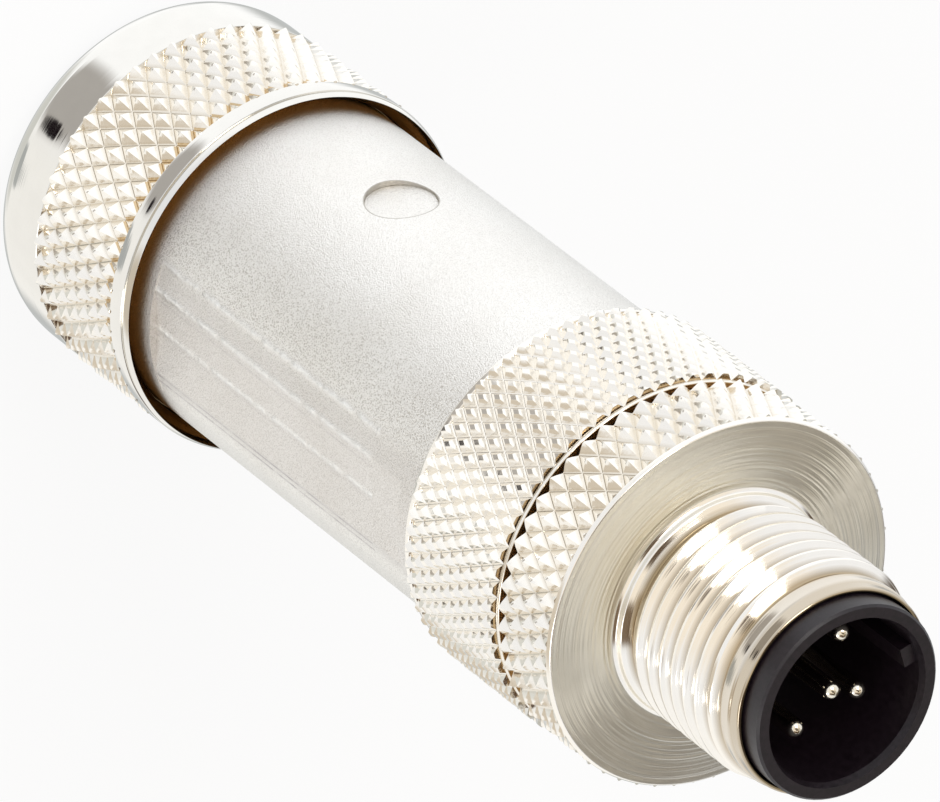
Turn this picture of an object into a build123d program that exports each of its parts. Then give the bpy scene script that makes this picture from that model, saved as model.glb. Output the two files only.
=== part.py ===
from build123d import *
import math
import os

# Shielded M12 cable plug, male, five pins, with screw terminals
# +Z runs along the axis towards the mating face, and the cable nut's rear end lies at z = 0
# +X runs through the coding key. All sizes are in millimetres

# Driving sizes, overall
total_length = 61.6
ring_radius = 10.0
body_radius = 9.05
thread_radius = 6.0
thread_pitch = 1.0
running_gap = 0.05
seat_gap = 0.05

# Mating face
collar_radius = 5.20
collar_bore_radius = 4.38
collar_stand_out = 1.2
socket_depth = 8.5
key_inner_radius = 3.70
key_width = 1.1
pin_radius = 0.5
pin_circle_radius = 2.6
outer_pin_setback = 2.1
centre_pin_setback = 1.0

# Coupling ring
nose_gap = 0.10
neck_length = 9.7
flange_face_radius = 9.61
flange_length = 4.4
front_chamfer = 0.42
ring_gap = 0.30

# Carrier ring, the knurled ring behind the coupling ring
carrier_ring_length = 8.1
carrier_land = 0.45
hub_radius = 7.0
hub_length = 3.65
skirt_radius = 7.9
skirt_length = 4.35
skirt_bore_radius = 7.0

# Knurls
coarse_teeth = 53
coarse_depth = 0.50
fine_teeth = 67
fine_depth = 0.34
knurl_angle_deg = 30.6
knurl_root_wall = 0.12

# Terminal block and its contacts
block_radius = 6.6
block_length = 12.6
block_flange_length = 1.6
barrel_radius = 1.1
barrel_length = 7.4
wire_hole_radius = 0.7
wire_hole_depth = 5.0
screw_shank_radius = 0.5
screw_head_radius = 0.85
screw_head_length = 0.8
screw_slot_width = 0.25

# Sleeve, the plain body
sleeve_bore_radius = 7.6
web_bore_radius = 6.6
web_length = 1.5
rear_bore_radius = 7.4
rear_thread_radius = 8.5
sleeve_rear_z = 4.2
web_z = 16.0
sleeve_turn_deg = 74.5
recess_radius = 1.85
recess_depth = 0.3
recess_z = 22.75
flat_distance = 8.70
flat_half_angle_deg = 15.0
bevel_half_angle_deg = 24.0
flat_z_low = 13.9
flat_z_high = 36.2

# Cable nut
nut_length = 13.0
nut_rim_length = 0.4
nut_mouth_radius = 9.62
nut_neck_radius = 9.15
nut_band_length = 1.45
nut_knurl_rows = 7
nut_land_radius = 9.80
nut_rear_round = 2.0
nut_wall = 2.2
nut_mouth_depth = 2.3
cable_hole_radius = 4.6
cage_bore_radius = 4.9

# Seals and clamping pieces in the sleeve's rear end
seal_bore_radius = 4.25
washer_length = 0.8
cage_length = 4.9
cage_slots = 8
cage_slot_width = 0.7
seal_length = 4.4
clamp_ring_length = 1.6
shield_ring_length = 1.6
o_ring_section = 0.5
mouth_ring_section = 0.3

# Stations along the axis, worked out from the sizes above
nose_z = total_length - collar_stand_out
flange_face_z = nose_z - neck_length
flange_back_z = flange_face_z - flange_length
carrier_front_z = flange_back_z - ring_gap
carrier_back_z = carrier_front_z - carrier_ring_length
skirt_back_z = carrier_back_z - skirt_length
hub_front_z = carrier_front_z + hub_length
socket_floor_z = total_length - socket_depth
sleeve_front_z = carrier_back_z - seat_gap
nut_inner_z = nut_wall

parts = {}


def ring(outer_r, inner_r, z_low, z_high):
    """A plain tube from z_low to z_high."""
    tube = Pos(0, 0, z_low) * Cylinder(outer_r, z_high - z_low, align=(Align.CENTER, Align.CENTER, Align.MIN))
    if inner_r > 0:
        bore = Pos(0, 0, z_low - 1) * Cylinder(
            inner_r, z_high - z_low + 2, align=(Align.CENTER, Align.CENTER, Align.MIN)
        )
        tube = tube - bore
    return tube


def rod(radius, z_low, z_high):
    """A plain round bar from z_low to z_high."""
    return ring(radius, 0, z_low, z_high)


def turned(points):
    """A turned piece from its half section, given as (radius, z) points."""
    section = Polyline(*[(r, 0, z) for r, z in points], close=True)
    return revolve(make_face(section), Axis.Z, 360)


def around(shape, angle_deg):
    """The shape turned about the main axis."""
    return Rot(0, 0, angle_deg) * shape


def core_radius(depth):
    """Radius at which a knurled ring is joined to the turned piece inside it."""
    return ring_radius - depth - knurl_root_wall


def row_height(teeth):
    """Half a diamond's length along the axis, from the knurl's angle."""
    half_pitch = math.pi * ring_radius / teeth
    return half_pitch / math.tan(math.radians(knurl_angle_deg))


def knurl_point(teeth, row, step, radius, z):
    """A point of the diamond net; odd rows are shifted by half a tooth."""
    angle = 2 * math.pi * (step + 0.5 * (row % 2)) / teeth
    return Vector(radius * math.cos(angle), radius * math.sin(angle), z)


def knurl_ring(z_low, z_high, rows, teeth, depth):
    """A closed ring with a crossed knurl: each diamond is a four-sided pyramid."""
    step_z = (z_high - z_low) / rows
    valley_radius = ring_radius - depth
    inner_radius = core_radius(depth)
    triangles = []
    ends = {0: [], rows: []}
    for row in range(rows + 1):
        z = z_low + row * step_z
        shift = row % 2
        for tooth in range(teeth):
            left = knurl_point(teeth, row, tooth, valley_radius, z)
            right = knurl_point(teeth, row, tooth + 1, valley_radius, z)
            tip = knurl_point(teeth, row, tooth + 0.5, ring_radius, z)
            if row < rows:
                above = knurl_point(teeth, row + 1, tooth + shift, valley_radius, z + step_z)
                triangles += [(left, tip, above), (tip, right, above)]
            if row > 0:
                below = knurl_point(teeth, row - 1, tooth + shift, valley_radius, z - step_z)
                triangles += [(left, below, tip), (tip, below, right)]
            if row in ends:
                ends[row] += [left, tip]
    faces = [Face(Wire.make_polygon(corners, close=True)) for corners in triangles]
    for row, outline in ends.items():
        z = z_low + row * step_z
        inner = Wire.make_circle(inner_radius, Plane.XY.offset(z))
        faces.append(Face(Wire.make_polygon(outline, close=True), [inner]))
    core = rod(inner_radius, z_low, z_high)
    faces.append(core.faces().filter_by(GeomType.CYLINDER)[0])
    return Solid(Shell(faces))


def contact_carrier():
    """Black plastic insert: collar with its coding key, flange and terminal block."""
    block_back_z = skirt_back_z - 3.5
    flange_z = carrier_back_z + 4.75
    section = [
        (0, block_back_z),
        (block_radius, block_back_z),
        (block_radius, flange_z),
        (skirt_bore_radius - running_gap, flange_z),
        (skirt_bore_radius - running_gap, flange_z + block_flange_length),
        (collar_radius, flange_z + block_flange_length),
        (collar_radius, total_length - 0.12),
        (collar_radius - 0.12, total_length),
        (collar_bore_radius + 0.15, total_length),
        (collar_bore_radius, total_length - 0.35),
        (collar_bore_radius, socket_floor_z),
        (0, socket_floor_z),
    ]
    body = turned(section)
    key_length = socket_depth - 0.6
    key_depth = collar_radius - 0.3 - key_inner_radius
    key = Pos(key_inner_radius + key_depth / 2, 0, socket_floor_z + key_length / 2) * Box(
        key_depth, key_width, key_length
    )
    body = body + key
    for angle, circle in contact_places():
        body = body - around(Pos(circle, 0, 0) * contact_bore(), angle)
    for angle, circle in contact_places():
        body = body - around(screw_way(circle, angle), angle)
    return body


def contact_places():
    """Angle and circle radius of the four outer contacts and the centre one."""
    outer = [(45 + 90 * number, pin_circle_radius) for number in range(4)]
    return outer + [(0, 0.0)]


def barrel_back_z():
    """Rear end of the contacts' barrels."""
    return skirt_back_z - 3.2


def contact_bore():
    """The hole that one contact fills: a wide one for the barrel, a narrow one for the pin."""
    barrel_top = barrel_back_z() + barrel_length
    wide = rod(barrel_radius + 0.03, barrel_back_z() - 5, barrel_top)
    narrow = rod(pin_radius + 0.02, barrel_top - 0.1, socket_floor_z + 1)
    return wide + narrow


def contact(setback):
    """One turned contact: pin with a rounded tip and a barrel with a wire hole."""
    tip_z = total_length - setback
    barrel_top = barrel_back_z() + barrel_length
    with BuildPart() as made:
        with BuildSketch(Plane.XZ):
            with BuildLine():
                Polyline(
                    (0, barrel_back_z()),
                    (barrel_radius, barrel_back_z()),
                    (barrel_radius, barrel_top),
                    (pin_radius, barrel_top),
                    (pin_radius, tip_z - pin_radius),
                )
                RadiusArc((pin_radius, tip_z - pin_radius), (0, tip_z), -pin_radius)
                Line((0, tip_z), (0, barrel_back_z()))
            make_face()
        revolve(axis=Axis.Z)
    wire_hole = rod(wire_hole_radius, barrel_back_z() - 1, barrel_back_z() + wire_hole_depth)
    return made.part - wire_hole


def screw_z():
    """Height of the terminal screws."""
    return barrel_back_z() + 2.6


def screw_span(circle):
    """Where a terminal screw's shank begins and its head ends, out from the main axis."""
    shank_start = circle + wire_hole_radius + 0.05
    head_end = block_radius - 0.35
    return shank_start, head_end


def radial_rod(radius, start, end, z):
    """A round bar along +X from start to end."""
    return Pos(start, 0, z) * Rot(0, 90, 0) * Cylinder(
        radius, end - start, align=(Align.CENTER, Align.CENTER, Align.MIN)
    )


def screw_way(circle, angle):
    """The hole in the plastic for one terminal screw, with room for its head."""
    start, end = screw_span(circle)
    shank_way = radial_rod(screw_shank_radius + 0.03, start, block_radius + 1, screw_z())
    head_way = radial_rod(
        screw_head_radius + 0.05, end - screw_head_length - 0.02, block_radius + 1, screw_z()
    )
    return shank_way + head_way


def terminal_screw(circle, angle):
    """One slotted screw that clamps a wire in its barrel."""
    start, end = screw_span(circle)
    shank = radial_rod(screw_shank_radius, start, end - screw_head_length + 0.05, screw_z())
    head = radial_rod(screw_head_radius, end - screw_head_length, end, screw_z())
    slot = Pos(end, 0, screw_z()) * Box(0.6, screw_slot_width, 3 * screw_head_radius)
    return around(shank + head - slot, angle)


def add_contacts():
    """The five contacts and their screws, outer four first."""
    for number, (angle, circle) in enumerate(contact_places(), start=1):
        setback = outer_pin_setback if circle else centre_pin_setback
        made = contact(setback)
        start, end = screw_span(circle)
        tapped = radial_rod(screw_shank_radius + 0.02, 0.2, barrel_radius + 1, screw_z())
        parts[f"pin_{number}"] = around(Pos(circle, 0, 0) * (made - tapped), angle)
        parts[f"terminal_screw_{number}"] = terminal_screw(circle, angle)


def coupling_ring():
    """One turned piece: M12 neck and knurled flange, free to turn on the carrier ring."""
    bore = collar_radius + nose_gap
    hub_bore = hub_radius + running_gap
    hub_floor_z = hub_front_z + 0.3
    groove_low, groove_high = groove_span()
    knurl_low = flange_back_z + 0.1
    knurl_high = flange_face_z - front_chamfer
    rows = round((knurl_high - knurl_low) / row_height(coarse_teeth))
    core = core_radius(coarse_depth)
    root = thread_radius - 0.55
    section = [
        (hub_bore, flange_back_z),
        (ring_radius - coarse_depth, flange_back_z),
        (ring_radius - coarse_depth, knurl_low),
        (core, knurl_low),
        (core, knurl_high),
        (ring_radius - 0.1, knurl_high),
        (flange_face_radius, flange_face_z),
        (thread_radius + 0.35, flange_face_z),
        (thread_radius + 0.35, flange_face_z + 0.35),
        (root, flange_face_z + 0.55),
        (root, flange_face_z + 0.9),
        (thread_radius, flange_face_z + 0.95),
        (thread_radius, nose_z - 1.6),
        (root + 0.1, nose_z - 1.1),
        (root + 0.1, nose_z - 0.15),
        (root - 0.05, nose_z),
        (bore, nose_z),
        (bore, hub_floor_z),
        (hub_bore, hub_floor_z),
        (hub_bore, groove_high),
        (hub_bore + 0.5, groove_high),
        (hub_bore + 0.5, groove_low),
        (hub_bore, groove_low),
    ]
    knurl = knurl_ring(knurl_low, knurl_high, rows, coarse_teeth, coarse_depth)
    return turned(section) + knurl


def groove_span():
    """Where the retaining ring's groove lies."""
    middle = (carrier_front_z + hub_front_z) / 2
    return middle - 0.45, middle + 0.45


def retaining_ring():
    """Split spring ring in the hub's groove that keeps the coupling ring on."""
    groove_low, groove_high = groove_span()
    spring = ring(hub_radius + 0.4, hub_radius - 0.45, groove_low + 0.08, groove_high - 0.08)
    split = Pos(-hub_radius, 0, groove_low) * Box(3, 1.6, 4)
    return spring - split


def carrier_ring():
    """One turned piece: knurled ring, front hub for the coupling ring, rear screw skirt."""
    bore = collar_radius + running_gap
    flange_z = carrier_back_z + 4.75 + block_flange_length
    groove_low, groove_high = groove_span()
    seat_z = flange_z + 2 * o_ring_section + 0.1
    knurl_low = carrier_back_z + carrier_land
    knurl_high = carrier_front_z - 0.15
    rows = round((knurl_high - knurl_low) / row_height(fine_teeth))
    core = core_radius(fine_depth)
    land = ring_radius - 0.22
    section = [
        (skirt_bore_radius, skirt_back_z),
        (skirt_radius - 0.3, skirt_back_z),
        (skirt_radius, skirt_back_z + 0.3),
        (skirt_radius, carrier_back_z),
        (land - 0.15, carrier_back_z),
        (land, carrier_back_z + 0.15),
        (land, knurl_low),
        (core, knurl_low),
        (core, knurl_high),
        (ring_radius - fine_depth, knurl_high),
        (ring_radius - fine_depth, carrier_front_z),
        (hub_radius, carrier_front_z),
        (hub_radius, groove_low),
        (hub_radius - 0.5, groove_low),
        (hub_radius - 0.5, groove_high),
        (hub_radius, groove_high),
        (hub_radius, hub_front_z - 0.2),
        (hub_radius - 0.2, hub_front_z),
        (bore, hub_front_z),
        (bore, seat_z),
        (bore + 2 * o_ring_section, seat_z),
        (bore + 2 * o_ring_section, flange_z),
        (skirt_bore_radius, flange_z),
    ]
    knurl = knurl_ring(knurl_low, knurl_high, rows, fine_teeth, fine_depth)
    return turned(section) + knurl


def o_ring(middle_radius, section_radius, z):
    """A rubber ring of round section."""
    return Pos(0, 0, z) * Torus(middle_radius, section_radius)


def carrier_seal():
    """Rubber ring between the plastic insert and the carrier ring."""
    z = carrier_back_z + 4.75 + block_flange_length + o_ring_section + 0.02
    return o_ring(collar_radius + o_ring_section + 0.03, o_ring_section, z)


def flat_cutter():
    """What a pair of shallow spanner flats with bevelled edges takes off the sleeve."""
    half = math.radians(flat_half_angle_deg)
    outer = math.radians(bevel_half_angle_deg)
    edge = (flat_distance, flat_distance * math.tan(half))
    corner = (body_radius * math.cos(outer), body_radius * math.sin(outer))
    beyond = body_radius + 1
    outline = Polyline(
        (edge[0], -edge[1]), edge, corner, (beyond, corner[1]), (beyond, -corner[1]),
        (corner[0], -corner[1]), close=True,
    )
    tool = Pos(0, 0, flat_z_low) * extrude(make_face(outline), flat_z_high - flat_z_low)
    return tool + Rot(0, 0, 180) * tool


def sleeve():
    """Die-cast body tube with an inner web, spanner flats and a bare round recess."""
    skirt_room_z = skirt_back_z - 0.4
    mouth_ring_bore = skirt_radius + 2 * mouth_ring_section + 0.1
    section = [
        (rear_bore_radius, sleeve_rear_z),
        (rear_thread_radius - 0.3, sleeve_rear_z),
        (rear_thread_radius, sleeve_rear_z + 0.3),
        (rear_thread_radius, nut_length - nut_mouth_depth + 0.2),
        (body_radius - 0.1, nut_length - nut_mouth_depth + 0.3),
        (body_radius, nut_length - nut_mouth_depth + 0.5),
        (body_radius, sleeve_front_z - 0.15),
        (body_radius - 0.15, sleeve_front_z),
        (mouth_ring_bore, sleeve_front_z),
        (mouth_ring_bore, sleeve_front_z - 2 * mouth_ring_section - 0.06),
        (skirt_radius + running_gap, sleeve_front_z - 2 * mouth_ring_section - 0.06),
        (skirt_radius + running_gap, skirt_room_z),
        (sleeve_bore_radius, skirt_room_z),
        (sleeve_bore_radius, web_z + web_length),
        (web_bore_radius, web_z + web_length),
        (web_bore_radius, web_z),
        (rear_bore_radius, web_z),
    ]
    body = turned(section)
    body = body - around(flat_cutter(), sleeve_turn_deg + 90)
    recess = radial_rod(recess_radius, body_radius - recess_depth, body_radius + 1, recess_z)
    return body - around(recess, sleeve_turn_deg)


def spacer_tube():
    """Plastic tube that keeps the wires off the metal and fills the space between web and skirt."""
    return ring(
        sleeve_bore_radius - 0.25, block_radius + 0.25, web_z + web_length + seat_gap, skirt_back_z - seat_gap
    )


def sleeve_seal():
    """Rubber ring in the corner between the screw skirt and the sleeve's mouth."""
    z = carrier_back_z - mouth_ring_section - 0.02
    return o_ring(skirt_radius + mouth_ring_section + 0.04, mouth_ring_section, z)


def shield_ring():
    """Metal ring over which the cable's screen is folded, seated on the sleeve's web."""
    outer = rear_bore_radius - running_gap
    return turned([
        (seal_bore_radius + 0.35, web_z - shield_ring_length),
        (outer - 1.0, web_z - shield_ring_length),
        (outer, web_z - 0.5),
        (outer, web_z - 0.03),
        (seal_bore_radius + 0.35, web_z - 0.03),
    ])


def shield_clamp_ring():
    """Metal ring whose cone presses the screen on to the shield ring."""
    outer = rear_bore_radius - running_gap
    front_z = web_z - shield_ring_length + 0.75
    back_z = web_z - shield_ring_length - 0.3 - clamp_ring_length
    cone_low = web_z - shield_ring_length - 0.3
    return turned([
        (seal_bore_radius + 0.35, back_z),
        (outer, back_z),
        (outer, front_z),
        (outer - 0.25, front_z),
        (outer - 0.82, cone_low),
        (seal_bore_radius + 0.35, cone_low),
    ])


def cable_seal():
    """Soft rubber gland that the nut squeezes on to the cable."""
    front_z = web_z - shield_ring_length - 0.3 - clamp_ring_length - 0.04
    back_z = front_z - seal_length
    outer = rear_bore_radius - running_gap
    return turned([
        (seal_bore_radius, back_z),
        (outer - 0.8, back_z),
        (outer - 0.2, back_z + 1.2),
        (outer, back_z + 1.6),
        (outer, front_z),
        (seal_bore_radius, front_z),
    ])


def clamp_cage():
    """Plastic basket with slotted fingers between the nut's washer and the rubber gland."""
    back_z = nut_inner_z + 0.05 + washer_length + 0.03
    front_z = web_z - shield_ring_length - 0.3 - clamp_ring_length - 0.04 - seal_length - 0.08
    outer = rear_bore_radius - 0.1
    basket = turned([
        (cage_bore_radius, back_z),
        (outer, back_z),
        (outer, front_z),
        (outer - 0.7, front_z),
        (cage_bore_radius, front_z - 0.4),
    ])
    for number in range(cage_slots):
        slot = Pos(outer, 0, front_z) * Box(2 * outer, cage_slot_width, 2 * (front_z - back_z) * 0.72)
        slot = slot & ring(outer + 1, cage_bore_radius - 0.5, back_z, front_z + 5)
        basket = basket - around(slot, 360 / cage_slots * number)
    return basket


def thrust_washer():
    """Slip washer that lets the nut turn without turning the cage."""
    low = nut_inner_z + 0.05
    return ring(rear_bore_radius - 0.1, cage_bore_radius, low, low + washer_length)


def nut_shell():
    """The nut's turned form without its knurl: mouth, thread bore, rear wall, rounded end."""
    knurl_low, knurl_high = nut_knurl_span()
    core = core_radius(coarse_depth)
    mouth_floor_z = nut_length - nut_mouth_depth
    thread_bore = rear_thread_radius + running_gap
    land = nut_land_radius
    with BuildPart() as made:
        with BuildSketch(Plane.XZ):
            with BuildLine():
                Polyline(
                    (land - nut_rear_round, 0),
                    (cable_hole_radius + 0.5, 0),
                    (cable_hole_radius, 0.5),
                    (cable_hole_radius, nut_inner_z),
                    (thread_bore, nut_inner_z),
                    (thread_bore, mouth_floor_z),
                    (nut_neck_radius, mouth_floor_z),
                    (nut_neck_radius, knurl_high + 0.1),
                    (nut_mouth_radius, knurl_high + 0.75),
                    (nut_mouth_radius, nut_length),
                    (ring_radius - 0.1, nut_length - nut_rim_length),
                    (ring_radius - 0.1, knurl_high),
                    (core, knurl_high),
                    (core, knurl_low),
                    (land, knurl_low),
                    (land, nut_rear_round),
                )
                RadiusArc((land, nut_rear_round), (land - nut_rear_round, 0), nut_rear_round)
            make_face()
        revolve(axis=Axis.Z)
    return made.part


def nut_knurl_span():
    """Where the nut's knurl begins and ends."""
    high = nut_length - nut_band_length
    return high - nut_knurl_rows * row_height(coarse_teeth), high


def clamp_nut():
    """Cable nut: one turned piece with a coarse crossed knurl."""
    low, high = nut_knurl_span()
    knurl = knurl_ring(low, high, nut_knurl_rows, coarse_teeth, coarse_depth)
    return nut_shell() + knurl


parts["contact_carrier"] = contact_carrier()
add_contacts()
parts["coupling_ring"] = coupling_ring()
parts["retaining_ring"] = retaining_ring()
parts["carrier_ring"] = carrier_ring()
parts["carrier_seal"] = carrier_seal()
parts["sleeve_seal"] = sleeve_seal()
parts["spacer_tube"] = spacer_tube()
parts["sleeve"] = sleeve()
parts["shield_ring"] = shield_ring()
parts["shield_clamp_ring"] = shield_clamp_ring()
parts["cable_seal"] = cable_seal()
parts["clamp_cage"] = clamp_cage()
parts["thrust_washer"] = thrust_washer()
parts["clamp_nut"] = clamp_nut()

os.makedirs("parts", exist_ok=True)
for name, shape in parts.items():
    export_step(shape, f"parts/{name}.step")
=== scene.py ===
import math
import bmesh
import bpy
from mathutils import Matrix, Vector, noise


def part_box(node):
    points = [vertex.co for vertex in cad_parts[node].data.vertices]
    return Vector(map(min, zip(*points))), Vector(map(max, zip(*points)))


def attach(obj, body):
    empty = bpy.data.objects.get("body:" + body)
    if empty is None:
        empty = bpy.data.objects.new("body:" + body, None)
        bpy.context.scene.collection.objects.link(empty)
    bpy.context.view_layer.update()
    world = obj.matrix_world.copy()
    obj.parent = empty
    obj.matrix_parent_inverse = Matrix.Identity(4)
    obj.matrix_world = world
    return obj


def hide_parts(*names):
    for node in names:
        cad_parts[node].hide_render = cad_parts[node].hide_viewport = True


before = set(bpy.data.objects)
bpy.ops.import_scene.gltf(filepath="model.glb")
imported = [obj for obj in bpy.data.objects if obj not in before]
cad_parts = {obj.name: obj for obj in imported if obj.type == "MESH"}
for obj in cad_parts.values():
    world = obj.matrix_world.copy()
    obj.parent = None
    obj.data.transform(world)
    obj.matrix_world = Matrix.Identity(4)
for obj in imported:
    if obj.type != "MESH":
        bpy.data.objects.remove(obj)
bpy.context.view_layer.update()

scene = bpy.context.scene
scene.view_settings.view_transform = "Standard"

# Camera: a long lens above and beside the upright connector, turned so that the mating face
# points to the lower right. Its place comes from the M12 thread's known size in the photograph
camera_place = Vector((-0.25585, 0.48384, 0.59234))
camera_right = Vector((0.80599, -0.21566, 0.55125)).normalized()
camera_up = Vector((0.49404, 0.75805, -0.42578))
camera_up = (camera_up - camera_up.dot(camera_right) * camera_right).normalized()
camera_back = camera_right.cross(camera_up)
camera_data = bpy.data.cameras.new("photo_camera")
camera_data.sensor_width = 36.0
camera_data.lens = 612.8  # mm
camera_data.clip_start = 0.01
camera_data.clip_end = 20.0
camera = bpy.data.objects.new("photo_camera", camera_data)
camera.matrix_world = (
    Matrix.Translation(camera_place)
    @ Matrix((camera_right, camera_up, camera_back)).transposed().to_4x4()
)
scene.collection.objects.link(camera)
scene.camera = camera

# Floor: a wide, matt white table under the connector, which stands on its cable nut. The camera
# sees it nearly white with the nut's soft shadow, and the bright metal doesn't mirror it
floor_half = 3.0
floor_mesh = bpy.data.meshes.new("floor")
floor_mesh.from_pydata(
    [(x * floor_half, y * floor_half, 0) for x, y in ((-1, -1), (1, -1), (1, 1), (-1, 1))],
    [], [(0, 1, 2, 3)],
)
floor = bpy.data.objects.new("floor", floor_mesh)
floor.visible_glossy = False
scene.collection.objects.link(floor)


class Nodes:
    """A short way to place shader nodes in a tree and join their sockets."""

    def __init__(self, tree):
        self.tree = tree
        self.tree.nodes.clear()

    def add(self, kind, **settings):
        node = self.tree.nodes.new("ShaderNode" + kind)
        for name, value in settings.items():
            setattr(node, name, value)
        return node

    def join(self, source, target):
        self.tree.links.new(source, target)

    def maths(self, operation, first, second=None):
        node = self.add("Math", operation=operation)
        for socket, value in zip(node.inputs, (first, second)):
            if value is None:
                continue
            if isinstance(value, (int, float)):
                socket.default_value = value
            else:
                self.join(value, socket)
        return node.outputs[0]

    def ramp(self, factor, stops):
        """Colours at these (place, colour) stops, blended in a line between them."""
        node = self.add("ValToRGB")
        elements = node.color_ramp.elements
        for number, (place, colour) in enumerate(stops):
            element = elements[number] if number < 2 else elements.new(place)
            element.position = place
            element.color = (*colour, 1.0)
        self.join(factor, node.inputs[0])
        return node.outputs[0]

    def mapped(self, value, low, high):
        """value between 0 and 1, spread over low to high."""
        node = self.add("MapRange")
        self.join(value, node.inputs["Value"])
        node.inputs["To Min"].default_value = low
        node.inputs["To Max"].default_value = high
        return node.outputs["Result"]

    def painted(self, base, mask, colour):
        """base with colour laid over it where mask is 1."""
        mix = self.add("Mix", data_type="RGBA")
        self.join(mask, mix.inputs["Factor"])
        if isinstance(base, tuple):
            mix.inputs[6].default_value = (*base, 1)
        else:
            self.join(base, mix.inputs[6])
        mix.inputs[7].default_value = (*colour, 1)
        return mix.outputs[2]

    def multiplied(self, base, shade, factor=None):
        """base darkened by shade, all over or as far as factor says."""
        mix = self.add("Mix", data_type="RGBA", blend_type="MULTIPLY")
        if factor is None:
            mix.inputs["Factor"].default_value = 1.0
        else:
            self.join(factor, mix.inputs["Factor"])
        self.join(base, mix.inputs[6])
        self.join(shade, mix.inputs[7])
        return mix.outputs[2]

    def seen_directly(self):
        """1 for what the camera sees itself, and 0 in reflections and for light."""
        rays = self.add("LightPath")
        return self.maths("MAXIMUM", rays.outputs["Is Camera Ray"], rays.outputs["Is Transmission Ray"])


def new_material(name):
    material = bpy.data.materials.new(name)
    material.use_nodes = True
    return material, Nodes(material.node_tree)


floor_material, n = new_material("white_table")
floor_diffuse = n.add("BsdfDiffuse")
floor_diffuse.inputs["Color"].default_value = (0.88, 0.88, 0.88, 1)
floor_glow = n.add("Emission")
floor_glow.inputs["Color"].default_value = (1, 1, 1, 1)
floor_glow.inputs["Strength"].default_value = 1.0
glow_share = 0.86
floor_mix = n.add("MixShader")
n.join(n.maths("MULTIPLY", n.seen_directly(), glow_share), floor_mix.inputs[0])
n.join(floor_diffuse.outputs[0], floor_mix.inputs[1])
n.join(floor_glow.outputs[0], floor_mix.inputs[2])
n.join(floor_mix.outputs[0], n.add("OutputMaterial").inputs[0])
floor_mesh.materials.append(floor_material)

# Studio: a bright tent all round with a few warm dark gaps, which the bright metal reflects.
# What the camera sees of it directly is plain white
world = bpy.data.worlds.new("light_tent")
scene.world = world
world.use_nodes = True
n = Nodes(world.node_tree)
sky = n.add("TexCoord")


def toward(azimuth, elevation):
    """The direction with that azimuth from +X and elevation above the floor, in degrees."""
    a, e = math.radians(azimuth), math.radians(elevation)
    return (math.cos(a) * math.cos(e), math.sin(a) * math.cos(e), math.sin(e))


def patch(azimuth, elevation, half_angle, softness):
    """A mask that is 1 within half_angle of a direction and fades to 0 over softness, in degrees."""
    along = n.add("VectorMath", operation="DOT_PRODUCT")
    n.join(sky.outputs["Generated"], along.inputs[0])
    along.inputs[1].default_value = toward(azimuth, elevation)
    edge = n.add("MapRange", interpolation_type="SMOOTHSTEP")
    n.join(along.outputs["Value"], edge.inputs["Value"])
    edge.inputs["From Min"].default_value = math.cos(math.radians(half_angle + softness))
    edge.inputs["From Max"].default_value = math.cos(math.radians(half_angle))
    return edge.outputs["Result"]


sky_colour = (0.98, 1.0, 1.04)
for *place, colour in (
    # Azimuth, elevation, half angle and softness in degrees, then the colour there:
    # wide light and shade below, from the table's sides
    (215, -35, 40, 45, (1.08, 1.075, 1.06)),
    (45, -36, 45, 30, (1.22, 1.24, 1.27)),
    (-62, -44, 20, 18, (0.58, 0.60, 0.60)),
    # grey that the flange's flat face mirrors, and a warm ceiling
    (-62, 44, 17, 9, (0.57, 0.575, 0.55)),
    (80, 84, 28, 22, (1.0, 0.92, 0.80)),
    # dark gaps overhead, meant to shade the flange's turned face. Little of that shade shows
    (-57, 70, 7, 6, (0.06, 0.035, 0.02)),
    (-20, 89, 7, 6, (0.08, 0.05, 0.03)),
    (110, 71, 7, 6, (0.12, 0.08, 0.05)),
    (-18, 67, 4, 5, (0.10, 0.065, 0.035)),
    (-92, 58, 9, 6, (0.08, 0.045, 0.025)),
    (-120, 62, 8, 6, (0.10, 0.06, 0.035)),
    (-150, 58, 8, 6, (0.20, 0.14, 0.09)),
    (-40, 12, 9, 10, (0.10, 0.07, 0.045)),
    # gold between them
    (-48, 67, 4, 5, (1.15, 0.98, 0.70)),
    (-76, 67, 4, 5, (1.05, 0.90, 0.70)),
    # dark gaps nearer the mirror direction of that face
    (-60, 62, 5, 4, (0.05, 0.03, 0.015)),
    (-63, 24, 4, 5, (0.05, 0.03, 0.015)),
    (-64, 8, 7, 6, (0.08, 0.05, 0.03)),
    (-79, 56, 6, 5, (0.07, 0.04, 0.02)),
    (-51, 28, 7, 5, (0.07, 0.045, 0.025)),
    (-42, 15, 9, 6, (0.12, 0.08, 0.05)),
    # dark bands on the nut, thread and knurls
    (116, -44, 13, 9, (0.50, 0.48, 0.46)),
    (136, -44, 3.2, 1.5, (0.012, 0.008, 0.01)),
    (172, -56, 7, 3, (0.50, 0.52, 0.52)),
    (190, -80, 13, 10, (0.74, 0.75, 0.72)),
    (178, 2, 14, 14, (0.70, 0.63, 0.53)),
):
    sky_colour = n.painted(sky_colour, patch(*place), colour)
sky_mix = n.painted(sky_colour, n.seen_directly(), (1, 1, 1))
sky_light = n.add("Background")
n.join(sky_mix, sky_light.inputs["Color"])
sky_light.inputs["Strength"].default_value = 1.0
n.join(sky_light.outputs[0], n.add("OutputWorld").inputs[0])


lamp_distance = 0.6
lamp_aim = Vector((0, 0, 0.03))


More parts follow.
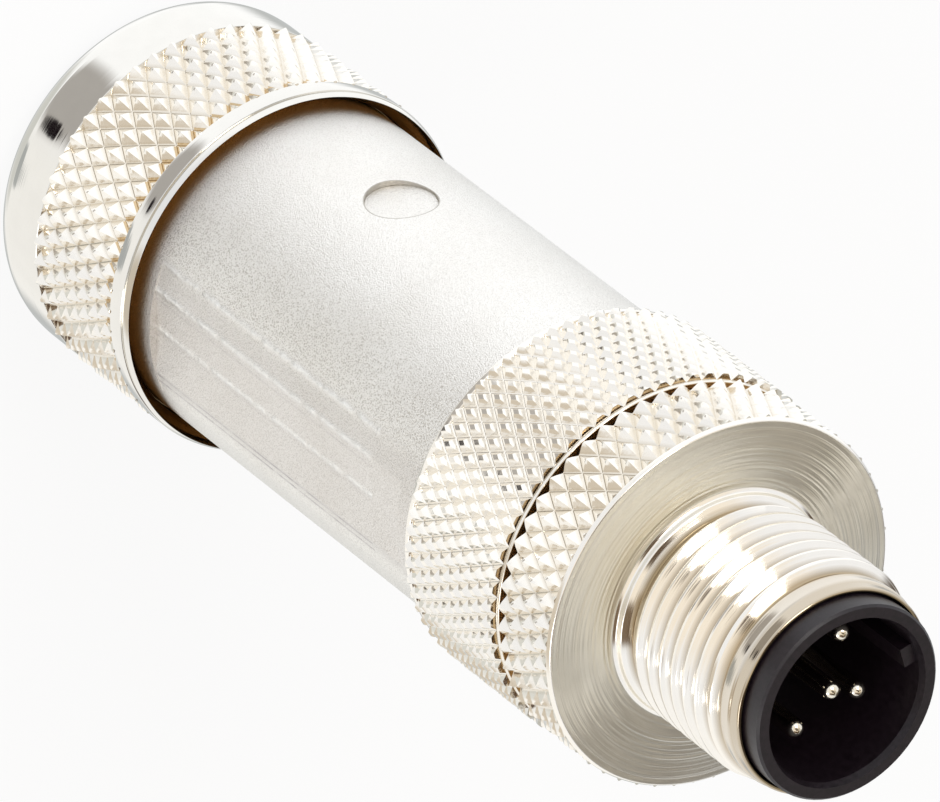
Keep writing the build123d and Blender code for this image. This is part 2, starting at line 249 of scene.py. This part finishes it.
def soft_box(name, azimuth, elevation, size, power, colour):
    """A square area lamp that faces the middle of the connector."""
    lamp = bpy.data.lights.new(name, "AREA")
    lamp.size = size
    lamp.energy = power
    lamp.color = colour
    lamp_object = bpy.data.objects.new(name, lamp)
    out = Vector(toward(azimuth, elevation))
    lamp_object.location = lamp_aim + out * lamp_distance
    lamp_object.rotation_mode = "QUATERNION"
    lamp_object.rotation_quaternion = out.to_track_quat("Z", "Y")
    scene.collection.objects.link(lamp_object)


soft_box("key_box", 75, 55, 0.25, 0.8, (1.0, 0.99, 0.97))
soft_box("side_box", 190, 30, 0.20, 0.3, (1.0, 0.98, 0.95))

# Coupling ring: one turned brass piece, nickel plated, with the M12 thread, a flat face that
# shows its turning marks, and a coarse crossed knurl. It turns freely on the carrier ring
mm = 0.001
ring_radius = 10.0 * mm
lathe_steps = 256


def eased(outline, radius):
    """The closed outline with each corner rounded by up to radius."""
    pieces = 3
    side_share = 0.4
    rounded = []
    count = len(outline)
    for number, corner in enumerate(outline):
        here = Vector(corner)
        before = Vector(outline[number - 1])
        after = Vector(outline[(number + 1) % count])
        reach_in = min(radius, side_share * (before - here).length)
        reach_out = min(radius, side_share * (after - here).length)
        start = here + (before - here).normalized() * reach_in
        end = here + (after - here).normalized() * reach_out
        for step in range(pieces + 1):
            t = step / pieces
            rounded.append(start * (1 - t) ** 2 + here * 2 * t * (1 - t) + end * t ** 2)
    return rounded


def turned(bm, outline):
    """Adds a closed outline of (radius, z) points, turned about the main axis."""
    rings = []
    for step in range(lathe_steps):
        angle = 2 * math.pi * step / lathe_steps
        rings.append([bm.verts.new((r * math.cos(angle), r * math.sin(angle), z)) for r, z in outline])
    for step in range(lathe_steps):
        here, ahead = rings[step], rings[(step + 1) % lathe_steps]
        for k in range(len(outline)):
            j = (k + 1) % len(outline)
            bm.faces.new((here[k], ahead[k], ahead[j], here[j]))


sharp_angle = math.radians(28)


def finished(bm, name, materials, body, node):
    """Turns bm into a piece that rides on a body, with its crisp edges kept."""
    bmesh.ops.recalc_face_normals(bm, faces=bm.faces)
    mesh = bpy.data.meshes.new(name)
    bm.to_mesh(mesh)
    bm.free()
    mesh.shade_smooth()
    mesh.set_sharp_from_angle(angle=sharp_angle)
    for material in materials:
        mesh.materials.append(material)
    piece = bpy.data.objects.new(name, mesh)
    scene.collection.objects.link(piece)
    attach(piece, body)
    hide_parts(node)
    return piece


knurl_seat = 0.12 * mm
knurl_lap = 0.1 * mm
wear_patches = 18.0


def knurl(bm, low, high, rows, teeth, depth, across, rise, wear, core):
    """Adds a closed ring with a crossed knurl. across holds places over one diamond from groove
    to groove, and rise the height there, from 0 in the groove to 1 on top. wear rounds off the
    tops unevenly. core is the ring's inner radius, inside the turned piece it sits on."""
    n_across = len(across) - 1
    row_height = (high - low) / rows
    span = 2 * teeth * n_across
    found = {}

    def corner(p, a, q, b):
        key = (p * n_across + a - q * n_across - b, (p * n_across + a + q * n_across + b) % span)
        if key not in found:
            along_p, along_q = p + across[a], q + across[b]
            angle = math.pi * (along_p + along_q) / teeth
            z = low + (along_p - along_q) * row_height
            height = min(rise[a], rise[b])
            spot = Vector((math.cos(angle), math.sin(angle), z / ring_radius)) * wear_patches
            height -= wear * height ** 3 * (0.5 + 0.5 * noise.noise(spot))
            r = ring_radius - depth * (1 - height)
            found[key] = bm.verts.new((r * math.cos(angle), r * math.sin(angle), z))
        return found[key]

    for row in range(rows + 1):
        for tooth in range(teeth):
            p, q = (row + (row % 2)) // 2 + tooth, (row % 2 - row) // 2 + tooth
            for a in range(n_across):
                for b in range(n_across):
                    if (row == 0 and a + 1 <= b) or (row == rows and b + 1 <= a):
                        continue
                    v00, v10 = corner(p, a, q, b), corner(p, a + 1, q, b)
                    v11, v01 = corner(p, a + 1, q, b + 1), corner(p, a, q, b + 1)
                    same_side = (2 * a < n_across) == (2 * b < n_across)
                    if same_side:
                        halves = [(v00, v10, v11), (v00, v11, v01)]
                    else:
                        halves = [(v00, v10, v01), (v10, v11, v01)]
                    if row == 0 and a == b:
                        halves = halves[:1]
                    if row == rows and a == b:
                        halves = halves[1:]
                    for triangle in halves:
                        bm.faces.new(triangle)

    rims = []
    for offset, z in ((0, low), (rows * n_across, high)):
        rim = [v for (k, around), v in sorted(found.items(), key=lambda item: item[0][1]) if k == offset]
        inner = [bm.verts.new((*(Vector(v.co.xy).normalized() * core), z)) for v in rim]
        for k, v in enumerate(rim):
            j = (k + 1) % len(rim)
            bm.faces.new((v, rim[j], inner[j], inner[k]))
        rims.append(inner)
    lower, upper = rims
    for k, v in enumerate(lower):
        j = (k + 1) % len(lower)
        bm.faces.new((v, lower[j], upper[j], upper[k]))


pyramid_across = (0, 0.04, 0.10, 0.27, 0.44, 0.5, 0.56, 0.73, 0.90, 0.96, 1)
pyramid_rise = (0, 0.04, 0.16, 0.54, 0.92, 1.0, 0.92, 0.54, 0.16, 0.04, 0)
coarse_teeth = 53
coarse_depth = 0.50 * mm
coarse_wear = 0.22

thread_pitch = 1.0 * mm
thread_crest = 6.0 * mm
thread_root = 5.40 * mm


def thread(bm, low, high):
    """Adds the helical thread's skin between low and high, whose stations follow the helix."""
    places = (0, 0.05, 0.10, 0.40, 0.44, 0.47, 0.55, 0.58, 0.62, 0.92)
    levels = (0, 0.02, 0.10, 0.92, 0.99, 1.0, 1.0, 0.99, 0.92, 0.10)
    steps = 192
    turns = math.ceil((high - low) / thread_pitch) + 1
    fade = 0.8 * thread_pitch
    columns = []
    for step in range(steps):
        share = step / steps
        angle = 2 * math.pi * share
        column = []
        for turn in range(-1, turns):
            for place, level in zip(places, levels):
                z = low + (turn + place + share) * thread_pitch
                z_held = min(max(z, low), high)
                run = min(1.0, (z_held - low) / fade, (high - z_held) / fade)
                r = thread_root + (thread_crest - thread_root) * level * max(0.0, run) ** 0.6
                column.append(bm.verts.new((r * math.cos(angle), r * math.sin(angle), z_held)))
        columns.append(column)
    per_turn = len(places)
    for step in range(steps):
        here, ahead = columns[step], columns[(step + 1) % steps]
        shift = per_turn if step == steps - 1 else 0
        for k in range(len(here) - 1):
            m = k + shift
            if m + 1 < len(ahead):
                bm.faces.new((here[k], ahead[m], ahead[m + 1], here[k + 1]))


def turning_marks(name, fine, coarse):
    """Shader group: rings left by the lathe, as a height that changes with z and with the
    distance from the axis. fine and coarse are noise scales."""
    tree = bpy.data.node_groups.new(name, "ShaderNodeTree")
    tree.interface.new_socket("Height", in_out="OUTPUT", socket_type="NodeSocketFloat")
    g = Nodes(tree)
    place = g.add("TexCoord")
    parts = g.add("SeparateXYZ")
    g.join(place.outputs["Object"], parts.inputs[0])
    flat = g.add("CombineXYZ")
    g.join(parts.outputs[0], flat.inputs[0])
    g.join(parts.outputs[1], flat.inputs[1])
    radius = g.add("VectorMath", operation="LENGTH")
    g.join(flat.outputs[0], radius.inputs[0])
    along = g.add("CombineXYZ")
    g.join(radius.outputs["Value"], along.inputs[0])
    g.join(parts.outputs[2], along.inputs[1])
    fine_noise = g.add("TexNoise", noise_dimensions="2D")
    fine_noise.inputs["Scale"].default_value = fine
    fine_noise.inputs["Detail"].default_value = 2
    coarse_noise = g.add("TexNoise", noise_dimensions="2D")
    coarse_noise.inputs["Scale"].default_value = coarse
    coarse_noise.inputs["Detail"].default_value = 1
    for texture in (fine_noise, coarse_noise):
        g.join(along.outputs[0], texture.inputs["Vector"])
    total = g.maths("ADD", fine_noise.outputs[0], g.maths("MULTIPLY", coarse_noise.outputs[0], 2.0))
    end = tree.nodes.new("NodeGroupOutput")
    g.join(total, end.inputs["Height"])
    return tree


lathe_rings = turning_marks("lathe_rings", 7000, 2200)
smear_scale = 900
mark_height = 0.06 * mm


def plated(name, colour, roughness, marks_strength, anisotropic=0.0, groove_shade=None):
    """Bright nickel plate: slightly warm, a little smeared, with lathe rings under the plate.
    The last argument is two radii and a colour: painted shade in the grooves, full at the first radius and
    gone at the second."""
    material, n = new_material(name)
    shader = n.add("BsdfPrincipled")
    shader.inputs["Metallic"].default_value = 1.0
    shader.inputs["Anisotropic"].default_value = anisotropic
    marks = n.add("Group")
    marks.node_tree = lathe_rings
    smear = n.add("TexNoise")
    smear.inputs["Scale"].default_value = smear_scale
    place = n.add("TexCoord")
    n.join(place.outputs["Object"], smear.inputs["Vector"])
    tone = n.ramp(smear.outputs[0], [(0.3, tuple(c * 0.97 for c in colour)), (0.7, colour)])
    # Painted shade, darker towards the roots of the grooves
    if groove_shade:
        shaded_radius, unshaded_radius, shade_colour = groove_shade
        flat_place = n.add("VectorMath", operation="MULTIPLY")
        n.join(place.outputs["Object"], flat_place.inputs[0])
        flat_place.inputs[1].default_value = (1, 1, 0)
        radius = n.add("VectorMath", operation="LENGTH")
        n.join(flat_place.outputs[0], radius.inputs[0])
        unshaded = n.add("MapRange")
        n.join(radius.outputs["Value"], unshaded.inputs["Value"])
        unshaded.inputs["From Min"].default_value = shaded_radius
        unshaded.inputs["From Max"].default_value = unshaded_radius
        shaded = n.add("Mix", data_type="RGBA")
        n.join(unshaded.outputs[0], shaded.inputs["Factor"])
        shaded.inputs[6].default_value = (*shade_colour, 1)
        n.join(tone, shaded.inputs[7])
        tone = shaded.outputs[2]
    n.join(tone, shader.inputs["Base Color"])
    n.join(n.mapped(smear.outputs[0], roughness * 0.8, roughness * 1.25), shader.inputs["Roughness"])
    bump = n.add("Bump")
    bump.inputs["Strength"].default_value = marks_strength
    bump.inputs["Distance"].default_value = mark_height
    n.join(marks.outputs["Height"], bump.inputs["Height"])
    n.join(bump.outputs[0], shader.inputs["Normal"])
    if anisotropic:
        round_axis = n.add("Tangent", direction_type="RADIAL", axis="Z")
        n.join(round_axis.outputs[0], shader.inputs["Tangent"])
    n.join(shader.outputs[0], n.add("OutputMaterial").inputs[0])
    return material


nickel = (0.92, 0.88, 0.81)
# Painted shade: the knurls are painted brownish down in their grooves
nickel_knurl = plated("nickel_knurl", nickel, 0.13, 0.05,
                      groove_shade=(ring_radius - coarse_depth, ring_radius - 0.36 * mm, (0.78, 0.72, 0.62)))
nickel_polish = plated("nickel_polish", (0.80, 0.78, 0.735), 0.06, 0.06)
# Painted shade: the thread is painted brown in its roots, fading out towards the crests
nickel_turned = plated("nickel_turned", nickel, 0.10, 0.12,
                       groove_shade=(5.38 * mm, 5.76 * mm, (0.38, 0.29, 0.17)))
# Painted shade: a dull brown nickel for the faces in the gaps beside the rings and inside the nut's mouth
nickel_gap_shade = plated("nickel_gap_shade", (0.66, 0.50, 0.30), 0.24, 0.3)
nickel_face = plated("nickel_face", (0.84, 0.81, 0.725), 0.31, 0.38, anisotropic=1.0)

ring_low, ring_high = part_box("coupling_ring")
flange_back = ring_low.z
nose_z = ring_high.z
nose_length = 9.7 * mm
flange_face = nose_z - nose_length
coupling_knurl_low = flange_back + 0.1 * mm
coupling_knurl_high = flange_face - 0.24 * mm
nose_bore = 5.30 * mm
hub_bore = 7.05 * mm
thread_low = flange_face + 0.75 * mm
thread_high = nose_z - 1.5 * mm
neck_radius = 5.36 * mm
plain_nose = 5.52 * mm
hub_step = flange_face - 0.5 * mm
knurl_core = ring_radius - coarse_depth - knurl_seat

bm = bmesh.new()
turned(bm, eased([
    (hub_bore, flange_back),
    (ring_radius - coarse_depth - 0.06 * mm, flange_back),
    (ring_radius - coarse_depth, coupling_knurl_low),
    (knurl_core, coupling_knurl_low),
    (knurl_core, coupling_knurl_high),
    (ring_radius - 0.12 * mm, coupling_knurl_high),
    (ring_radius - 0.26 * mm, flange_face),
    (6.25 * mm, flange_face),
    (6.02 * mm, flange_face + 0.12 * mm),
    (5.96 * mm, flange_face + 0.38 * mm),
    (neck_radius, flange_face + 0.66 * mm),
    (neck_radius, thread_high),
    (5.58 * mm, thread_high + 0.05 * mm),
    (5.62 * mm, nose_z - 0.75 * mm),
    (plain_nose, nose_z - 0.62 * mm),
    (plain_nose, nose_z - 0.10 * mm),
    (5.44 * mm, nose_z),
    (nose_bore, nose_z),
    (nose_bore, hub_step),
    (hub_bore, hub_step),
], 0.06 * mm))
thread(bm, thread_low, thread_high)
knurl(bm, coupling_knurl_low, coupling_knurl_high, 4, coarse_teeth, coarse_depth,
      pyramid_across, pyramid_rise, coarse_wear, knurl_core - knurl_lap)
coupling = finished(bm, "coupling_ring_turned", [nickel_knurl, nickel_turned, nickel_face, nickel_gap_shade],
                    "coupling", "coupling_ring")
on_nose, on_flange_face, in_gap = 1, 2, 3  # places in the list of materials
# The gap faces behind the knurl take the painted gap shade, the nose and the flat face their own nickel
for face in coupling.data.polygons:
    above_face = face.center.z - flange_face
    if face.center.z < coupling_knurl_low:
        face.material_index = in_gap
    elif above_face > 0.05 * mm:
        face.material_index = on_nose
    elif abs(face.normal.z) > 0.9 and abs(above_face) < 0.1 * mm:
        face.material_index = on_flange_face

# Carrier ring: turned nickel-plated brass, with a finer knurl whose tops are flattened, a plain
# land at its back and a front hub that the coupling ring turns on
bm = bmesh.new()
carrier_low, carrier_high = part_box("carrier_ring")
carrier_back = carrier_low.z + 4.35 * mm
carrier_front = carrier_high.z - 3.65 * mm
fine_teeth = 67
fine_depth = 0.34 * mm
fine_wear = 0.10
fine_core = ring_radius - fine_depth - knurl_seat
land = ring_radius - 0.22 * mm
hub_radius = 7.0 * mm
spigot_radius = 7.9 * mm
insert_seat = 6.25 * mm
seat_low = carrier_back + 6.35 * mm
seat_high = carrier_back + 7.45 * mm
carrier_knurl_low = carrier_back + 0.45 * mm
carrier_knurl_high = carrier_front - 0.15 * mm
flat_top_across = (0, 0.05, 0.11, 0.28, 0.34, 0.5, 0.66, 0.72, 0.89, 0.95, 1)
flat_top_rise = (0, 0.06, 0.24, 0.86, 1.0, 1.0, 1.0, 0.86, 0.24, 0.06, 0)
insert_bore = 5.25 * mm
turned(bm, eased([
    (hub_radius, carrier_low.z),
    (spigot_radius - 0.3 * mm, carrier_low.z),
    (spigot_radius, carrier_low.z + 0.3 * mm),
    (spigot_radius, carrier_back),
    (land - 0.15 * mm, carrier_back),
    (land, carrier_back + 0.15 * mm),
    (land, carrier_knurl_low),
    (fine_core, carrier_knurl_low),
    (fine_core, carrier_knurl_high),
    (ring_radius - fine_depth, carrier_knurl_high),
    (ring_radius - fine_depth - 0.06 * mm, carrier_front),
    (hub_radius, carrier_front),
    (hub_radius, carrier_high.z - 0.2 * mm),
    (hub_radius - 0.2 * mm, carrier_high.z),
    (insert_bore, carrier_high.z),
    (insert_bore, seat_high),
    (insert_seat, seat_high),
    (insert_seat, seat_low),
    (hub_radius, seat_low),
], 0.05 * mm))
knurl(bm, carrier_knurl_low, carrier_knurl_high, 9, fine_teeth, fine_depth,
      flat_top_across, flat_top_rise, fine_wear, fine_core - knurl_lap)
carrier = finished(bm, "carrier_ring_turned", [nickel_knurl, nickel_gap_shade],
                   "insert", "carrier_ring")
in_gap = 1
# The faces in front of the knurl, in the gap under the coupling ring, take the painted gap shade
for face in carrier.data.polygons:
    if face.center.z > carrier_front - 0.01 * mm:
        face.material_index = in_gap

# Cable nut: turned nickel-plated brass with the coarse knurl between a narrow polished band at
# its mouth and a wide rounded one at its rear end, which the connector stands on
bm = bmesh.new()
nut_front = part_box("clamp_nut")[1].z
nut_knurl_high = nut_front - 1.45 * mm
nut_knurl_low = nut_knurl_high - 7.017 * mm
nut_band = 9.90 * mm
band_groove = 9.70 * mm
nut_land = 9.80 * mm
mouth_radius = 9.60 * mm
mouth_seat = 9.15 * mm
nut_bore = 8.55 * mm
bore_front = nut_front - 2.3 * mm
gland_floor = 2.2 * mm
cable_way = 4.6 * mm
nut_round = 2.0 * mm
nut_arc = []
for degrees in range(0, 91, 9):
    a = math.radians(degrees)
    nut_arc.append((nut_land - nut_round * (1 - math.sin(a)), nut_round * (1 - math.cos(a))))
turned(bm, eased([
    (5.1 * mm, 0.0),
    *nut_arc,
    (nut_land, nut_knurl_low),
    (knurl_core, nut_knurl_low),
    (knurl_core, nut_knurl_high),
    (nut_band, nut_knurl_high),
    (nut_band, nut_front - 0.46 * mm),
    (band_groove, nut_front - 0.44 * mm),
    (band_groove, nut_front - 0.36 * mm),
    (nut_band - 0.04 * mm, nut_front - 0.32 * mm),
    (band_groove, nut_front),
    (mouth_radius, nut_knurl_high + 0.75 * mm),
    (mouth_seat, nut_knurl_high + 0.10 * mm),
    (mouth_seat, bore_front),
    (nut_bore, bore_front),
    (nut_bore, gland_floor),
    (cable_way, gland_floor),
    (cable_way, 0.5 * mm),
], 0.05 * mm))
knurl(bm, nut_knurl_low, nut_knurl_high, 7, coarse_teeth, coarse_depth,
      pyramid_across, pyramid_rise, coarse_wear, knurl_core - knurl_lap)
nut = finished(bm, "cable_nut_turned", [nickel_knurl, nickel_polish, nickel_gap_shade],
               "nut", "clamp_nut")
on_bands, in_mouth = 1, 2
# The faces inside the nut's mouth take the painted gap shade, and its bands the polished nickel
for face in nut.data.polygons:
    if face.center.z > bore_front - 0.1 * mm and face.center.xy.length < mouth_radius - 0.01 * mm:
        face.material_index = in_mouth
    elif not nut_knurl_low <= face.center.z <= nut_knurl_high:
        face.material_index = on_bands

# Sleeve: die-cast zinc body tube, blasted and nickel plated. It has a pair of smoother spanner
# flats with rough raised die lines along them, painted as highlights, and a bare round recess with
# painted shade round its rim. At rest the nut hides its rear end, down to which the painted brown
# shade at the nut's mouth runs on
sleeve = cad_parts["sleeve"]
flat_low_z = 13.9 * mm
flat_high_z = 33.5 * mm
recess_turn = math.radians(74.5)
recess_z = 22.75 * mm
recess_radius = 1.85 * mm
recess_rim_half = 0.055 * mm
inside_skin = 8.0 * mm
grain_scale = 13000
cloud_scale = 260
break_scale = 1500

sleeve_material, n = new_material("nickel_blasted")
shader = n.add("BsdfPrincipled")
shader.inputs["Metallic"].default_value = 1.0
place = n.add("TexCoord")
spread = n.add("SeparateXYZ")
n.join(place.outputs["Object"], spread.inputs[0])
skin_x, skin_y, skin_z = spread.outputs
skin_turn = n.maths("ARCTAN2", skin_y, skin_x)
half_turns = n.maths("FRACT", n.maths("ADD", n.maths("DIVIDE", skin_turn, math.pi), 2.0))


def by_turn(stops):
    """Colours at these (degrees about the axis, colour) stops, the same on both sides."""
    return n.ramp(half_turns, [(degrees / 180, colour) for degrees, colour in stops])


def grey(level):
    return (level, level, level)


def cast_lines(lines, half_width):
    """A mask of rough, broken lines along the flats at these (degrees, weight)."""
    stops = []
    for degrees, weight in lines:
        stops += [(degrees - half_width, grey(0)), (degrees, grey(weight)), (degrees + half_width, grey(0))]
    line = by_turn(stops)
    rough = n.add("TexNoise")
    rough.inputs["Scale"].default_value = break_scale
    n.join(place.outputs["Object"], rough.inputs["Vector"])
    gaps = n.maths("MULTIPLY", n.maths("SUBTRACT", rough.outputs[0], 0.22), 2.6)
    above = n.maths("GREATER_THAN", skin_z, flat_low_z)
    below = n.maths("LESS_THAN", skin_z, flat_high_z)
    return n.maths("MULTIPLY", n.maths("MULTIPLY", line, gaps), n.maths("MULTIPLY", above, below))


def recess_rim_shade():
    """A mask of the recess's rim, for painted shade: a circle about a line square to the axis."""
    away = n.add("VectorMath", operation="SUBTRACT")
    n.join(place.outputs["Object"], away.inputs[0])
    away.inputs[1].default_value = (0, 0, recess_z)
    aside = n.add("VectorMath", operation="DOT_PRODUCT")
    n.join(away.outputs[0], aside.inputs[0])
    aside.inputs[1].default_value = (-math.sin(recess_turn), math.cos(recess_turn), 0)
    outward = n.add("VectorMath", operation="DOT_PRODUCT")
    n.join(away.outputs[0], outward.inputs[0])
    outward.inputs[1].default_value = (math.cos(recess_turn), math.sin(recess_turn), 0)
    rise = n.add("SeparateXYZ")
    n.join(away.outputs[0], rise.inputs[0])
    aside_squared = n.maths("POWER", aside.outputs["Value"], 2.0)
    across = n.maths("SQRT", n.maths("ADD", aside_squared, n.maths("POWER", rise.outputs[2], 2.0)))
    off_rim = n.maths("ABSOLUTE", n.maths("SUBTRACT", across, recess_radius))
    on_this_side = n.maths("GREATER_THAN", outward.outputs["Value"], inside_skin)
    return n.maths("MULTIPLY", n.maths("LESS_THAN", off_rim, recess_rim_half), on_this_side)


grain = n.add("TexNoise")
grain.inputs["Scale"].default_value = grain_scale
grain.inputs["Detail"].default_value = 1
n.join(place.outputs["Object"], grain.inputs["Vector"])
cloud = n.add("TexNoise")
cloud.inputs["Scale"].default_value = cloud_scale
n.join(place.outputs["Object"], cloud.inputs["Vector"])
tone = n.ramp(cloud.outputs[0], [(0.3, (0.90, 0.875, 0.83)), (0.7, (0.94, 0.92, 0.88))])
smooth_flat = (0.87, 0.86, 0.86)
flats = by_turn([(0, smooth_flat), (5.4, grey(1)), (137.7, grey(1)), (144, smooth_flat)])
speck_strength = by_turn([(0, grey(0.45)), (90, grey(0.25)), (108, grey(0.45)), (126, grey(1)),
                          (135, grey(1)), (144, grey(0.50)), (180, grey(0.50))])
speck = n.ramp(grain.outputs[0], [(0.36, (0.66, 0.64, 0.61)), (0.50, grey(1))])
skin = n.multiplied(n.multiplied(tone, flats), speck, speck_strength)
# The raised die lines are bumped and also painted as highlights. The dark lines are painted shade beside
# two of them, plus a dark double line along the flats' edge
highlit_die_lines = cast_lines([(140.5, 1.0), (149.5, 1.0), (163.0, 1.0)], 1.53)
dark_and_shade_lines = cast_lines([(0.8, 1.0), (3.6, 1.0), (152.5, 0.35), (165.0, 0.35)], 0.468)
# Painted shade: a thin dark line round the recess's rim
skin = n.painted(skin, recess_rim_shade(), (0.55, 0.52, 0.47))
skin = n.painted(skin, dark_and_shade_lines, (0.46, 0.42, 0.42))
skin = n.painted(skin, highlit_die_lines, (1.0, 0.99, 0.96))
# Painted shade: the sleeve turns brown just outside the nut's mouth and stays so on down to its rear end
mouth_shade = n.add("MapRange", interpolation_type="SMOOTHSTEP")
n.join(skin_z, mouth_shade.inputs["Value"])
mouth_shade.inputs["From Min"].default_value = nut_front + 0.62 * mm
mouth_shade.inputs["From Max"].default_value = nut_front - 0.4 * mm
skin = n.painted(skin, mouth_shade.outputs["Result"], (0.52, 0.36, 0.18))
n.join(skin, shader.inputs["Base Color"])
n.join(n.mapped(grain.outputs[0], 0.28, 0.42), shader.inputs["Roughness"])
bump = n.add("Bump")
bump.inputs["Strength"].default_value = 1.0
bump.inputs["Distance"].default_value = 0.00005
n.join(n.maths("ADD", grain.outputs[0], n.maths("MULTIPLY", highlit_die_lines, 2.0)), bump.inputs["Height"])
n.join(bump.outputs[0], shader.inputs["Normal"])
n.join(shader.outputs[0], n.add("OutputMaterial").inputs[0])
sleeve.data.materials[0] = sleeve_material

# Plastic insert: black glass-filled nylon, moulded in one piece with the collar that stands out
# of the nose and its coding key. The carrier ring holds it
def moulded(name, shades, roughness, scale, detail, bump_strength, bump_depth):
    """Moulded plastic or rubber: a colour that drifts a little, with a fine moulded grain."""
    material, n = new_material(name)
    shader = n.add("BsdfPrincipled")
    place = n.add("TexCoord")
    drift = n.add("TexNoise")
    drift.inputs["Scale"].default_value = scale
    drift.inputs["Detail"].default_value = detail
    n.join(place.outputs["Object"], drift.inputs["Vector"])
    n.join(n.ramp(drift.outputs[0], shades), shader.inputs["Base Color"])
    n.join(n.mapped(drift.outputs[0], *roughness), shader.inputs["Roughness"])
    bump = n.add("Bump")
    bump.inputs["Strength"].default_value = bump_strength
    bump.inputs["Distance"].default_value = bump_depth
    n.join(drift.outputs[0], bump.inputs["Height"])
    n.join(bump.outputs[0], shader.inputs["Normal"])
    n.join(shader.outputs[0], n.add("OutputMaterial").inputs[0])
    return material


nylon_shades = [(0.35, (0.006, 0.003, 0.005)), (0.75, (0.014, 0.008, 0.012))]
black_nylon = moulded("black_nylon", nylon_shades, (0.30, 0.45), 4000, 4, 0.25, 0.00003)
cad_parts["contact_carrier"].data.materials[0] = black_nylon

# Contacts and their screws: five turned brass pins, plated, pressed into the insert. Each clamps
# its wire in a barrel behind, with a slotted steel screw
pin_plate = plated("pin_plate", (0.86, 0.80, 0.68), 0.12, 0.1)
inner_metal = plated("inner_metal", (0.74, 0.73, 0.70), 0.3, 0.2)
for number in range(1, 6):
    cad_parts[f"pin_{number}"].data.materials[0] = pin_plate
    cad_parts[f"terminal_screw_{number}"].data.materials[0] = inner_metal

# Inner rings: the split ring that keeps the coupling ring on its hub, the two rings that take the
# cable's screen, and the slip washer under the nut. All are plain plated metal
for name in ("retaining_ring", "shield_ring", "shield_clamp_ring", "thrust_washer"):
    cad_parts[name].data.materials[0] = inner_metal

# Seals, spacer and cage: black rubber rings, the pale plastic tube round the wires, and the dark
# slotted basket that the nut squeezes onto the cable
rubber_shades = [(0.3, (0.0187, 0.01785, 0.017)), (0.7, (0.0242, 0.0231, 0.022))]
seal_rubber = moulded("seal_rubber", rubber_shades, (0.51, 0.69), 3000, 2, 0.3, 0.00003)
for name in ("carrier_seal", "sleeve_seal", "cable_seal"):
    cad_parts[name].data.materials[0] = seal_rubber
spacer_shades = [(0.3, (0.595, 0.5865, 0.561)), (0.7, (0.77, 0.759, 0.726))]
spacer_plastic = moulded("spacer_plastic", spacer_shades, (0.357, 0.483), 1800, 2, 0.3, 0.00002)
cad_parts["spacer_tube"].data.materials[0] = spacer_plastic
cage_shades = [(0.3, (0.0425, 0.0425, 0.04675)), (0.7, (0.055, 0.055, 0.0605))]
cage_plastic = moulded("cage_plastic", cage_shades, (0.34, 0.46), 2200, 2, 0.3, 0.00002)
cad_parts["clamp_cage"].data.materials[0] = cage_plastic
